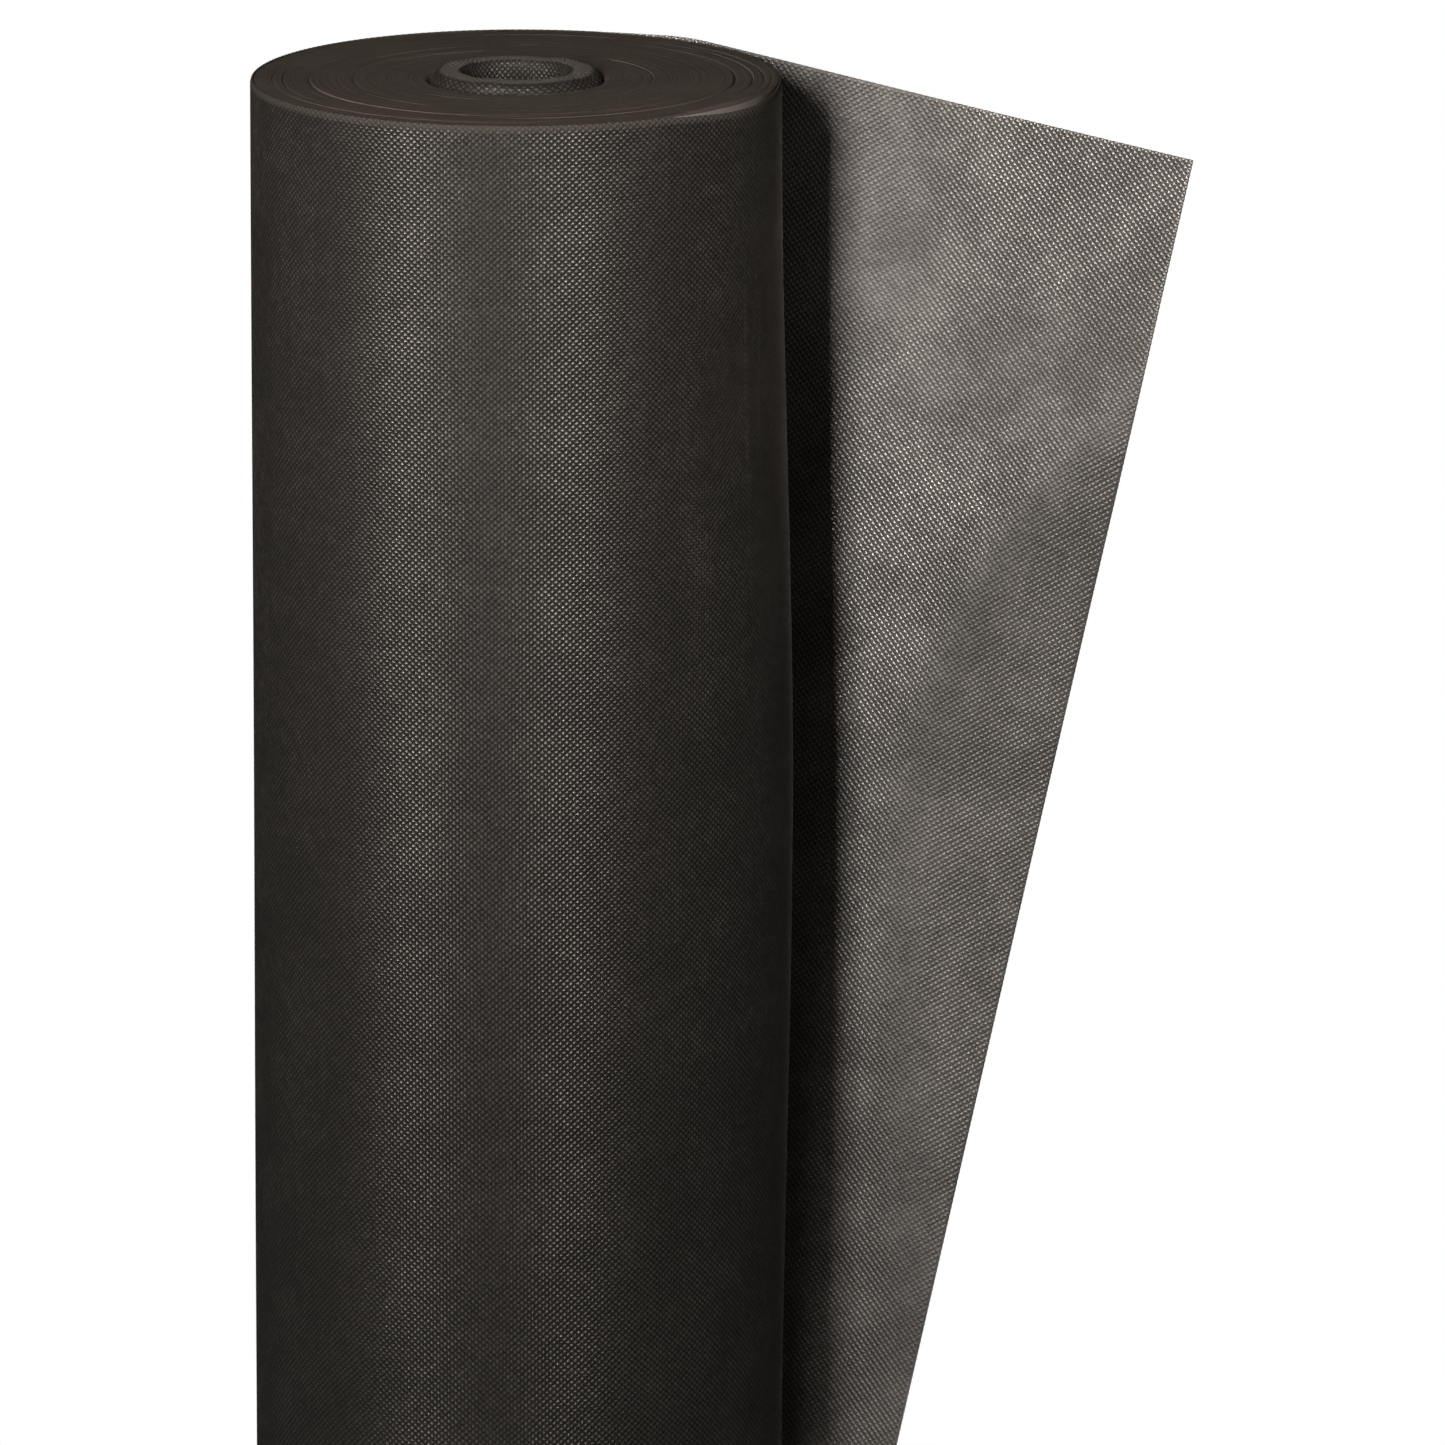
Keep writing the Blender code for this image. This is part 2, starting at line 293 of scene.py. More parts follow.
def flat_strip(name, cut=None):
    """A closed flat strip, embossed on its outer face. A cut is a point and the way to what goes."""
    strip = embossed_cloth(name, STRIP_COLUMNS + 2, ROWS, -CELL_WIDTH, 0)
    tops = pillow_of_faces(strip, -CELL_WIDTH, 0)[:, 0]
    drop_faces(strip, (tops < -SNAP) | (tops > strip_width - SNAP * 2))
    found = places(strip.data)
    found[is_top(found, -CELL_WIDTH, 0), 2] = PILLOW
    put(strip.data, found)

    work = bmesh.new()
    work.from_mesh(strip.data)
    rim = [edge for edge in work.edges if edge.is_boundary]
    wall = bmesh.ops.extrude_edge_only(work, edges=rim)["geom"]
    for part in wall:
        if isinstance(part, bmesh.types.BMVert):
            part.co.z = -WEB_BACK
    open_rim = [edge for edge in work.edges if edge.is_boundary]
    back = bmesh.ops.holes_fill(work, edges=open_rim, sides=0)["faces"]
    for column in range(BACK_COLUMNS, STRIP_COLUMNS, BACK_COLUMNS):
        parts = {part for face in back for part in (face, *face.edges, *face.verts)}
        line = (column * CELL_WIDTH, 0, 0)
        split = bmesh.ops.bisect_plane(work, geom=list(parts), dist=SNAP, plane_co=line, plane_no=(1, 0, 0))
        back = [part for part in split["geom"] if isinstance(part, bmesh.types.BMFace)]
    if cut is not None:
        everything = [*work.verts, *work.edges, *work.faces]
        bmesh.ops.bisect_plane(
            work, geom=everything, dist=SNAP, plane_co=cut[0], plane_no=cut[1], clear_outer=True
        )
        bmesh.ops.holes_fill(work, edges=[e for e in work.edges if e.is_boundary], sides=0)
    many_sided = [face for face in work.faces if len(face.verts) > 3]
    bmesh.ops.triangulate(work, faces=many_sided, ngon_method="BEAUTY")
    bmesh.ops.recalc_face_normals(work, faces=work.faces)
    open_edges = sum(1 for edge in work.edges if not edge.is_manifold)
    work.to_mesh(strip.data)
    work.free()
    print(name, len(strip.data.polygons), "triangles,", open_edges, "open edges")
    return strip


foot_of_cut = -(REACH - CORNER_HEIGHT * math.tan(END_TILT))
head_of_cut = foot_of_cut / math.tan(END_TILT)
cut_point = (0, head_of_cut, 0)
cut_normal = (-math.cos(END_TILT), -math.sin(END_TILT), 0)
flat_first = flat_strip("flat_first_strip", cut=(cut_point, cut_normal))
flat_other = flat_strip("flat_strip")

# %% [markdown]
# The strips are wound on in code, because the roll isn't quite a cylinder. The web is a spiral, so its
# radius falls by one thickness a turn. Its top and bottom rims tip inward, as handled rolls do. The
# outermost turn has come loose at the right front: its upper rim stands off and dips, so that the turn
# behind it shows as a pale line, and it bellies out further down.

# %% The shape of the outermost turn
RIM_RADIUS = 0.0009
RIM_TURN = math.radians(45)
LIP_LIFT = 0.0011
LIP_AROUND = math.radians(292), math.radians(362)
LIP_FADE = 0.10
BELLY_LIFT = 0.0034
BELLY_AROUND = math.radians(306), math.radians(404)
BELLY_TOP_SHARE = 0.985
BELLY_MIDDLE_SHARE = 0.785
BELLY_FOOT_SHARE = 0.545
# The whole turn's waves, each with how often it comes round, its turn a metre up, its start and its share.
WAVE = 0.00009
WAVE_END = math.radians(390)
WAVES = [(3, 9, 0, 1.0), (7, -23, 1, 0.7)]
UPRIGHT_SHARE = 0.8
RIM_DIP = 0.0018
DIP_AROUND = math.radians(298), math.radians(362)
DIP_FADE = 0.05


def bump(value, start, end):
    """0 outside a range, rising smoothly to 1 at its middle."""
    return np.sin(math.pi * np.clip((value - start) / (end - start), 0, 1)) ** 2


def ramp(value, start, end):
    """Rises smoothly from 0 at start to 1 at end."""
    share = np.clip((value - start) / (end - start), 0, 1)
    return share * share * (3 - 2 * share)


def web_radius(turn, height):
    """Radius of the web's outer face, at an angle wound back from the leaving line."""
    azimuth = LEAVING_AZIMUTH + turn
    radius = RADIUS - TURN_PITCH * turn / math.tau
    radius = radius + LIP_LIFT * bump(azimuth, *LIP_AROUND) * ramp(height, HEIGHT - LIP_FADE, HEIGHT)
    upper = ramp(height, HEIGHT * BELLY_TOP_SHARE, HEIGHT * BELLY_MIDDLE_SHARE)
    lower = ramp(height, HEIGHT * BELLY_FOOT_SHARE, HEIGHT * BELLY_MIDDLE_SHARE)
    radius = radius + BELLY_LIFT * bump(azimuth, *BELLY_AROUND) * upper * lower
    waves = 0
    for count, climb, start, share in WAVES:
        waves = waves + share * np.sin(count * azimuth + climb * height + start)
    return radius + WAVE * waves * bump(turn, 0, WAVE_END) ** 0.25


def wind(found, start):
    """Winds flat cloth on to the roll: x runs round it, y up it and z out of it."""
    turn = (found[:, 0] + start) / RADIUS
    azimuth = LEAVING_AZIMUTH + turn
    flat = found[:, 1]
    rim = np.clip(RIM_TURN - np.minimum(flat, HEIGHT - flat) / RIM_RADIUS, 0, RIM_TURN)
    above = flat > HEIGHT / 2
    upright = UPRIGHT_SHARE * bump(azimuth, *LIP_AROUND) * above
    inward = RIM_RADIUS * (1 - np.cos(rim)) * (1 - upright)
    shorter = RIM_RADIUS * (rim - np.sin(rim) - RIM_TURN + math.sin(RIM_TURN))
    up = flat + np.where(above, shorter, -shorter)
    up = up - RIM_DIP * bump(azimuth, *DIP_AROUND) * ramp(flat, HEIGHT - DIP_FADE, HEIGHT)
    radius = web_radius(turn, flat) - inward + found[:, 2]
    wound = np.empty_like(found)
    wound[:, 0] = AXIS.x + radius * np.cos(azimuth)
    wound[:, 1] = AXIS.y + radius * np.sin(azimuth)
    wound[:, 2] = up
    return wound


# %% [markdown]
# Cloth that is ten times as tall as it is wide would waste most of a square picture, so its map is cut
# across into a few lengths that lie side by side. The second map gives the cloth's own metres, for patterns
# that follow it.


# %% Maps of the cloth
MAP_GAP = 0.004


def map_cloth(mesh, flat, across, up, sides, front):
    """Lays each side of the cloth out in lengths side by side, and adds the map of the cloth in metres."""
    drop_maps(mesh)
    corners, counts = corner_vertices(mesh), corner_counts(mesh)
    first = np.cumsum(counts) - counts
    wide, tall = np.ptp(across), np.ptp(up)
    lengths = max(1, round(math.sqrt(tall / wide / sides)))
    share_across = ((across - across.min()) / wide)[corners]
    share_up = ((up - up.min()) / tall * lengths)[corners]
    middle = np.add.reduceat(share_up, first) / counts
    length = np.repeat(np.clip(np.floor(middle), 0, lengths - 1), counts)
    behind = np.repeat(np.maximum.reduceat(flat[corners, 2], first) < front, counts)
    column = length + np.where(behind, lengths if sides == 2 else 0, 0)
    size = 1 - 2 * MAP_GAP
    map_across = (column + MAP_GAP + size * share_across) / (lengths * sides)
    map_up = MAP_GAP * 2 + (1 - MAP_GAP * 4) * (share_up - length)
    if sides == 1:
        map_up = np.where(behind, MAP_GAP * share_up / lengths, map_up)
    add_map(mesh, "OFBake", map_across, map_up)
    add_map(mesh, "cloth", flat[corners, 0], flat[corners, 1])
    return behind[first]


def wound_strip(number):
    """One of the strips that together are the outermost turn of the web."""
    flat = flat_first if number == 0 else flat_other
    strip = copy_of(flat, f"outer_web_{number + 1}")
    found = places(strip.data)
    raised = found[:, 2] > SNAP
    start = number * strip_width
    cloth = found * (-1, 1, 1) - (start, 0, 0)
    map_cloth(strip.data, cloth, found[:, 0], found[:, 1], 1, -WEB_BACK / 2)
    put(strip.data, wind(found, start))
    crease_grooves(strip.data, raised)
    return strip


outer_web = [wound_strip(number) for number in range(STRIPS)]
for flat in (flat_first, flat_other):
    bpy.data.objects.remove(flat)

# %% [markdown]
# The inner turns are too many to model one by one: 50 m of web goes round more than a hundred times. What
# shows of them are their edges, a face of fine spiral ridges at each end. That face is a grid rolled up to
# a spiral and merged along its seam. Each ridge is a turn's edge, and it stands a little proud or sunk,
# because a web wanders sideways while it is wound. The disc then gets the roll's height, and its far face
# repeats the ridges.

# %% The winding
RIDGE_TURNS = 74
RIDGE_STEPS = 240
WINDING_OUTER = RADIUS - TURN_PITCH
WINDING_MOUTH = 0.0262
RIDGE_DEPTH = 0.00008
WANDER_SLOW = 0.00003
WANDER_FAST = 0.00003
EDGE_DROP = 0.0003
EDGE_FALL = 0.0012
MOUTH_DROP = 0.0007
MOUTH_FALL = 0.0020
SEAM_AZIMUTH = math.radians(104)
PROUD_INSET = 0.0034
PROUD_HALF = 0.0014
PROUD_RISE = 0.0011
PROUD_AROUND = math.radians(296), math.radians(358)
# Loosened turns: radius, half width, depth, and the azimuths in degrees between which each one opens.
LOOSE_TURNS = [
    (0.0655, 0.0004, 0.0010, 255, 425),
    (0.0622, 0.0006, 0.0006, 120, 290),
    (0.0660, 0.0004, 0.0005, 300, 400),
    (0.0700, 0.0004, 0.0006, 150, 215),
    (0.0708, 0.0004, 0.0007, 318, 396),
    (0.0732, 0.0004, 0.0004, 140, 240),
    (0.0742, 0.0004, 0.0005, 330, 410),
    (0.0490, 0.0004, 0.0004, 130, 230),
    (0.0410, 0.0004, 0.0004, 300, 420),
    (0.0766, 0.0004, 0.0005, 300, 372),
]

SEAM_BREAK = math.radians(72)
SLOW_KNOTS = 3
FAST_KNOTS = 9
SHARP_ANGLE = math.radians(50)
random = np.random.default_rng(11)


def wander(length, knots_a_turn, size):
    """A smooth random walk along the web, read by how many turns have been wound."""
    knots = random.normal(0, size, int(length * knots_a_turn) + 2)
    return lambda turns: np.interp(turns * knots_a_turn, np.arange(len(knots)), knots)


def end_sink(radius, azimuth, turns, odd, slow, fast):
    """How far the winding's end face lies below its highest plane."""
    sink = slow(turns) + fast(turns)
    sink = sink - sink.min()
    sink = sink + np.where(odd, 0, RIDGE_DEPTH)
    sink = sink + EDGE_DROP * ramp(radius, WINDING_OUTER - EDGE_FALL, WINDING_OUTER)
    sink = sink + MOUTH_DROP * ramp(radius, WINDING_MOUTH + MOUTH_FALL, WINDING_MOUTH)
    for place, half, depth, start, end in LOOSE_TURNS:
        open_share = bump(azimuth, math.radians(start), math.radians(end)) ** 0.5
        sink = sink + depth * bump(radius, place - half, place + half) * open_share
    proud = bump(radius, WINDING_OUTER - PROUD_INSET, WINDING_OUTER - PROUD_INSET + 2 * PROUD_HALF)
    return sink - PROUD_RISE * proud * bump(azimuth, *PROUD_AROUND)


def make_winding():
    """The wound web inside the outermost turn, closed, with a spiral of ridges on each end."""
    rows = 2 * RIDGE_TURNS
    winding = flat_grid("winding", RIDGE_STEPS, rows)
    found = places(winding.data)
    around = np.rint((found[:, 0] + 0.5) * RIDGE_STEPS) / RIDGE_STEPS
    row = np.rint((found[:, 1] + 0.5) * rows).astype(int)
    turns = row / 2 + around
    radius = WINDING_MOUTH + turns * (WINDING_OUTER - WINDING_MOUTH) / (RIDGE_TURNS + 1)
    angle = SEAM_AZIMUTH - math.tau * around
    put(winding.data, np.stack([radius * np.cos(angle), radius * np.sin(angle), 0 * angle], axis=1))
    close_up(winding, SNAP * 5)
    if winding.data.polygons[0].normal.z < 0:
        winding.data.flip_normals()
    thicken(winding, HEIGHT)

    found = places(winding.data)
    radius = np.hypot(found[:, 0], found[:, 1])
    azimuth = np.arctan2(found[:, 1], found[:, 0]) % math.tau
    around = ((SEAM_AZIMUTH - azimuth) / math.tau) % 1
    turns = (radius - WINDING_MOUTH) / (WINDING_OUTER - WINDING_MOUTH) * (RIDGE_TURNS + 1)
    odd = np.rint((turns - around) * 2).astype(int) % 2 == 1
    azimuth = np.where(azimuth < SEAM_BREAK, azimuth + math.tau, azimuth)
    upper = found[:, 2] > -HEIGHT / 2
    sinks = []
    for end in range(2):
        slow = wander(RIDGE_TURNS, SLOW_KNOTS, WANDER_SLOW)
        fast = wander(RIDGE_TURNS, FAST_KNOTS, WANDER_FAST)
        sinks.append(end_sink(radius, azimuth, turns, odd, slow, fast))
    found[:, 2] = np.where(upper, HEIGHT - sinks[0], np.maximum(sinks[1], 0))
    found[:, 0] += AXIS.x
    found[:, 1] += AXIS.y
    put(winding.data, found)
    winding.data.polygons.foreach_set("use_smooth", np.ones(len(winding.data.polygons), bool))
    only(winding)
    bpy.ops.object.shade_smooth_by_angle(angle=SHARP_ANGLE)
    drop_maps(winding.data)
    return winding


winding = make_winding()

# %% [markdown]
# The loose end hangs from the roll as one sheet, but it bends at four hinges, and one piece can bend over
# only one hinge. So the sheet is modelled whole and divided half way between the hinges, again along the
# grooves, where the pieces meet vertex for vertex. It was cut off at right angles and then turned askew as
# it was pulled out, so its pattern and both its free edges lean by more than ten degrees. Both faces show,
# and both are embossed. Cloth never hangs quite flat, so soft folds are added: it leans towards the front,
# turns back again before its free edge, and falls behind its plane beside the top of the roll. A fold moves
# cloth towards the viewer or away, and the cloth slides up or down and sideways with it, along the line of
# sight, so the outline seen from the front stays.

# %% The loose end, flat
UNDER = 0.003
flap_columns = math.ceil((REACH + UNDER) / math.cos(TOP_TILT) / CELL_WIDTH) + 3
FLAP_ROWS = 443
flap_left = -flap_columns * CELL_WIDTH
flap_low = -FLAP_ROWS * CELL_HEIGHT
divides = [(a + b) / 2 for a, b in zip(bend_places, bend_places[1:])]


def along_flap(across, up):
    """Distance from the leaving line of a point of the flat cloth, measured from its far corner."""
    return REACH + across * math.cos(TOP_TILT) + up * math.sin(END_TILT)


def past_leaving(across, up):
    """Whether a place on the flat cloth lies well past the line where the loose end leaves the roll."""
    return along_flap(across, up) < -UNDER - 2 * CELL_WIDTH


loose_cloth = embossed_cloth("loose_cloth", flap_columns, FLAP_ROWS, flap_left, flap_low, past_leaving)

# %% The hang of the loose end
FALL_START = 0.020
FALL_BLEND = 0.015
LEAVING_DIP = 0.00035
LEAVING_LENGTH = 0.006
LEAN = 0.12
LEAN_START = 0.045
LEAN_FAR = 0.062
LEAN_LEAST = 0.015
LOWER_FROM = 0.93
LOWER_TO = 0.85
TURN_PLACE = 0.094
TURN_HEIGHT = 0.74
TURN_OPENING = 3.0
TURN_LEAN = 0.32
POCKET = 0.007
POCKET_ALONG = (0.050, 0.112)
POCKET_HEIGHT = (0.86, 0.96)
CLEARANCE = 0.003
CLEARANCE_ALONG = (0.004, 0.045)
FOLD_FADE = 0.09
FOLD_SOFT = 0.005
BILLOW = 0.0005
BILLOW_ALONG = (0.01, 0.06)
BILLOW_WIDTH = 0.019
BILLOW_HEIGHT = 0.055
BILLOW_TWIST = 6
BILLOW_START = 1.3
SIGHT_SLOPE = 0.22


def top_edge(along):
    """Height of the web's upper edge at a distance from the leaving line."""
    fallen = np.maximum(along - FALL_START, 0)
    slope = math.tan(TOP_TILT)
    bent = HEIGHT - slope * fallen**2 / (2 * FALL_BLEND)
    return np.where(fallen < FALL_BLEND, bent, HEIGHT - slope * (fallen - FALL_BLEND / 2))


def soft_step(distance):
    """0 before a fold and the distance past it, with a soft change between them."""
    return FOLD_SOFT * np.log1p(np.exp(distance / FOLD_SOFT))


def toward_viewer(along, height):
    """How far the loose end stands off its plane, on the roll's side of it."""
    free_edge = REACH - (CORNER_HEIGHT - height) * math.tan(END_TILT)
    lower = ramp(height, HEIGHT * LOWER_FROM, HEIGHT * LOWER_TO)
    start = np.maximum(lower * LEAN_START + (1 - lower) * (free_edge - LEAN_FAR), LEAN_START)
    turn = TURN_PLACE + TURN_OPENING * np.maximum(height - HEIGHT * TURN_HEIGHT, 0) ** 2
    turn = np.maximum(turn, start + LEAN_LEAST)
    folds = LEAN * soft_step(along - start) - TURN_LEAN * soft_step(along - turn)
    folds = folds - CLEARANCE * lower * ramp(along, *CLEARANCE_ALONG)
    pocket = POCKET * ramp(height / HEIGHT, *POCKET_HEIGHT) * ramp(along, *POCKET_ALONG)
    billow = np.sin(along / BILLOW_WIDTH + BILLOW_TWIST * height)
    billow = BILLOW * billow * np.sin(height / BILLOW_HEIGHT + BILLOW_START) * ramp(along, *BILLOW_ALONG)
    return folds * ramp(free_edge, 0, FOLD_FADE) - pocket + billow


def hang(found):
    """Hangs flat cloth beside the roll: x runs along it, y up it and z out of its near face."""
    along = along_flap(found[:, 0], found[:, 1])
    height = CORNER_HEIGHT - found[:, 0] * math.sin(TOP_TILT) + found[:, 1] * math.cos(END_TILT)
    straight = CORNER_HEIGHT + (REACH - along) * math.tan(TOP_TILT)
    height = height - straight + top_edge(along)
    stand_off = toward_viewer(along, height)
    height = height + SIGHT_SLOPE * stand_off
    near = stand_off + found[:, 2] + CLOTH / 2
    turn = np.maximum(-along, 0) / RADIUS
    dip = LEAVING_DIP * (1 - ramp(along, 0, LEAVING_LENGTH))
    radius = RADIUS - dip - near
    flat_along = np.maximum(along, 0) + stand_off * OUT.x / ALONG.x
    azimuth = LEAVING_AZIMUTH + turn
    hung = np.empty_like(found)
    hung[:, 0] = AXIS.x + radius * np.cos(azimuth) + flat_along * ALONG.x
    hung[:, 1] = AXIS.y + radius * np.sin(azimuth) + flat_along * ALONG.y
    hung[:, 2] = height
    return hung


# %% The loose end's pieces
def loose_piece(number):
    """The part of the loose end around one hinge, embossed on both faces."""
    start = -UNDER if number == 0 else divides[number - 1]
    end = divides[number] if number < len(divides) else REACH * 2
    piece = copy_of(loose_cloth, f"loose_end_{number + 1}")
    tops = pillow_of_faces(piece, flap_left, flap_low)
    along = along_flap(tops[:, 0], tops[:, 1])
    drop_faces(piece, (along < start) | (along >= end))
    thicken(piece, CLOTH)

    found = places(piece.data)
    raised = is_top(found, flap_left, flap_low)
    front = found[:, 2] > -CLOTH / 2
    found[:, 2] += np.where(raised, np.where(front, NEAR_PILLOW, -PILLOW), 0)
    place_along = along_flap(found[:, 0], found[:, 1])
    behind = map_cloth(piece.data, found, place_along, found[:, 1], 2, -CLOTH / 2)
    piece.data.polygons.foreach_set("material_index", behind.astype(np.int32))
    put(piece.data, hang(found))
    crease_grooves(piece.data, raised)
    return piece


loose_end = [loose_piece(number) for number in range(len(bends))]
bpy.data.objects.remove(loose_cloth)

# %% [markdown]
# A collar of the same cloth is tucked into each end of the bore. It comes up out of the bore, rolls over
# the tube's end in a puffy ring and goes down again between the tube and the winding. It starts as flat
# embossed cloth, one cell for each cell round the ring. A few plain rows are extruded from its edge, and
# they become the part that the winding hides. The whole is then bent into a ring along its profile and
# merged where its edges meet.

# %% The collar's profile
BORE = 0.0160
LIP_CREST = 0.0198
LIP_OUTER = 0.0255
LIP_RISE = 0.0026
LIP_CENTRE_DROP = 0.0034
LOWER_RECESS = 0.0008
INNER_TUCK = 0.0007
INNER_TUCK_FROM = -0.0048
INNER_TUCK_TO = -0.0060
LIP_FLAT_FROM = -0.0006
LIP_FLAT_TO = 0.0016
LINING_LENGTH = 0.058
SKIRT_SHOWN = 0.008
SKIRT_LENGTH = 0.044
TUBE_CLEAR_INNER = 0.0176
TUBE_CLEAR_OUTER = 0.0224
COLLAR_COLUMNS = 60
COLLAR_PILLOW = 0.00042
collar_width = COLLAR_COLUMNS * CELL_WIDTH
lip_height = LIP_RISE + LIP_CENTRE_DROP
LIP_INNER_POWER = 0.4
LIP_OUTER_POWER = 0.55
lip_turn = np.linspace(0, math.pi, 400)
lip_power = np.where(lip_turn < math.pi / 2, LIP_INNER_POWER, LIP_OUTER_POWER)
lip_half = np.where(lip_turn < math.pi / 2, LIP_CREST - BORE, LIP_OUTER - LIP_CREST)
lip_radii = LIP_CREST - lip_half * np.sign(np.cos(lip_turn)) * np.abs(np.cos(lip_turn)) ** lip_power
lip_heights = -LIP_CENTRE_DROP + lip_height * np.sin(lip_turn) ** lip_power
lip_steps = np.hypot(np.diff(lip_radii), np.diff(lip_heights))
lip_lengths = np.concatenate([[0], np.cumsum(lip_steps)])
lip_length = lip_lengths[-1]
collar_rows = round((LINING_LENGTH - LIP_CENTRE_DROP + lip_length + SKIRT_SHOWN) / CELL_HEIGHT)
shown_length = collar_rows * CELL_HEIGHT
TUBE_TOP = -0.0024
hidden_rings = [
    (LIP_OUTER, -SKIRT_LENGTH),
    (TUBE_CLEAR_OUTER, -SKIRT_LENGTH),
    (TUBE_CLEAR_OUTER, TUBE_TOP),
    (TUBE_CLEAR_INNER, TUBE_TOP),
    (TUBE_CLEAR_INNER, -LINING_LENGTH),
    (BORE, -LINING_LENGTH),
]


def collar_profile(length):
    """Radius and height below the roll's end, and the way out of the cloth, along the cloth that shows."""
    lining = LINING_LENGTH - LIP_CENTRE_DROP
    on_lip = np.clip(length - lining, 0, lip_length)
    past_lip = length - lining - lip_length
    radius = np.interp(on_lip, lip_lengths, lip_radii)
    height = np.interp(on_lip, lip_lengths, lip_heights)
    height = np.where(length < lining, -LINING_LENGTH + length, height)
    height = np.where(past_lip > 0, -LIP_CENTRE_DROP - past_lip, height)
    out_across = np.interp(on_lip, lip_lengths, -np.gradient(lip_heights, lip_lengths))
    out_up = np.interp(on_lip, lip_lengths, np.gradient(lip_radii, lip_lengths))
    out = np.stack([out_across, out_up], axis=1)
    top = ramp(height, LIP_FLAT_FROM, LIP_FLAT_TO)
    tucked = INNER_TUCK * ramp(height, INNER_TUCK_FROM, INNER_TUCK_TO) * (length < lining)
    return radius - tucked, height, out / np.linalg.norm(out, axis=1)[:, None], top


# Puffs of the lip, each with how often it comes round, its start and its share, and ripples in the lining.
PUFF = 0.00030
PUFFS = [(3, 0.6, 0.4), (7, 2.1, 0.35), (11, 4, 0.25)]
RIPPLE = 0.00022
RIPPLES = 5
RIPPLE_CLIMB = 60
RIPPLE_HEIGHT = (-0.002, -0.006)
PRESSED_SHARE = 0.8


def make_collar(name, end_height, up):
    """A collar at the roll's end, up for the top one and not for the bottom one."""
    collar = embossed_cloth(name, COLLAR_COLUMNS, collar_rows, 0, 0)
    drop_maps(collar.data)
    work = bmesh.new()
    work.from_mesh(collar.data)
    edge = [e for e in work.edges if e.is_boundary and all(v.co.y > shown_length - SNAP for v in e.verts)]
    for ring in range(len(hidden_rings)):
        made = bmesh.ops.extrude_edge_only(work, edges=edge)["geom"]
        for part in made:
            if isinstance(part, bmesh.types.BMVert):
                part.co.y = shown_length + (ring + 1) * CELL_HEIGHT
        edge = [part for part in made if isinstance(part, bmesh.types.BMEdge) and part.is_boundary]
        edge = [e for e in edge if abs(e.verts[0].co.y - e.verts[1].co.y) < SNAP]
    work.to_mesh(collar.data)
    work.free()

    found = places(collar.data)
    hidden = found[:, 1] > shown_length + SNAP
    raised = is_top(found, 0, 0) & ~hidden
    corners = corner_vertices(collar.data)
    add_map(collar.data, "cloth", found[corners, 0], found[corners, 1])
    angle = math.tau * found[:, 0] / collar_width
    radius, height, out, top = collar_profile(found[:, 1])
    puff = sum(share * np.sin(count * angle + start) for count, start, share in PUFFS)
    lift = COLLAR_PILLOW * raised * (1 - PRESSED_SHARE * top) + PUFF * puff * top
    lift = lift + RIPPLE * np.sin(RIPPLES * angle + RIPPLE_CLIMB * height) * ramp(height, *RIPPLE_HEIGHT)
    radius = radius + out[:, 0] * lift
    height = height + out[:, 1] * lift
    ring = np.rint((found[:, 1] - shown_length) / CELL_HEIGHT).astype(int) - 1
    for number, (ring_radius, ring_height) in enumerate(hidden_rings):
        here = hidden & (ring == number)
        radius[here], height[here] = ring_radius, ring_height
    side = 1 if up else -1
    height = height if up else height - LIP_RISE - LOWER_RECESS
    bent = np.empty_like(found)
    bent[:, 0] = AXIS.x + radius * np.cos(angle * side)
    bent[:, 1] = AXIS.y + radius * np.sin(angle * side)
    bent[:, 2] = end_height + height * side
    put(collar.data, bent)
    crease_grooves(collar.data, raised)
    close_up(collar, SNAP * 20)
    return collar


collar_top = make_collar("puffed_collar_top", HEIGHT, up=True)
collar_bottom = make_collar("puffed_collar_bottom", 0, up=False)

# %% [markdown]
# Shader maths reads best as plain sums. A small class wraps a socket, and its operators add the Math nodes.
# Every other node comes from one method, which takes the node's type, its settings and its inputs.


# %% Shader maths as Python
class Value:
    """A number or colour that a material's node gives."""

    def __init__(self, finish, socket):
        self.finish = finish
        self.socket = socket

    def maths(self, operation, *others):
        inputs = dict(enumerate((self, *others)))
        return self.finish.node("Math", {"operation": operation}, inputs)

    def __add__(self, other):
        return self.maths("ADD", other)

    def __mul__(self, other):
        return self.maths("MULTIPLY", other)

    __radd__, __rmul__ = __add__, __mul__

    def __sub__(self, other):
        return self.maths("SUBTRACT", other)

    def __rsub__(self, other):
        return self.finish.node("Math", {"operation": "SUBTRACT"}, {0: other, 1: self})

    def __truediv__(self, other):
        return self.maths("DIVIDE", other)

    def __abs__(self):
        return self.maths("ABSOLUTE")


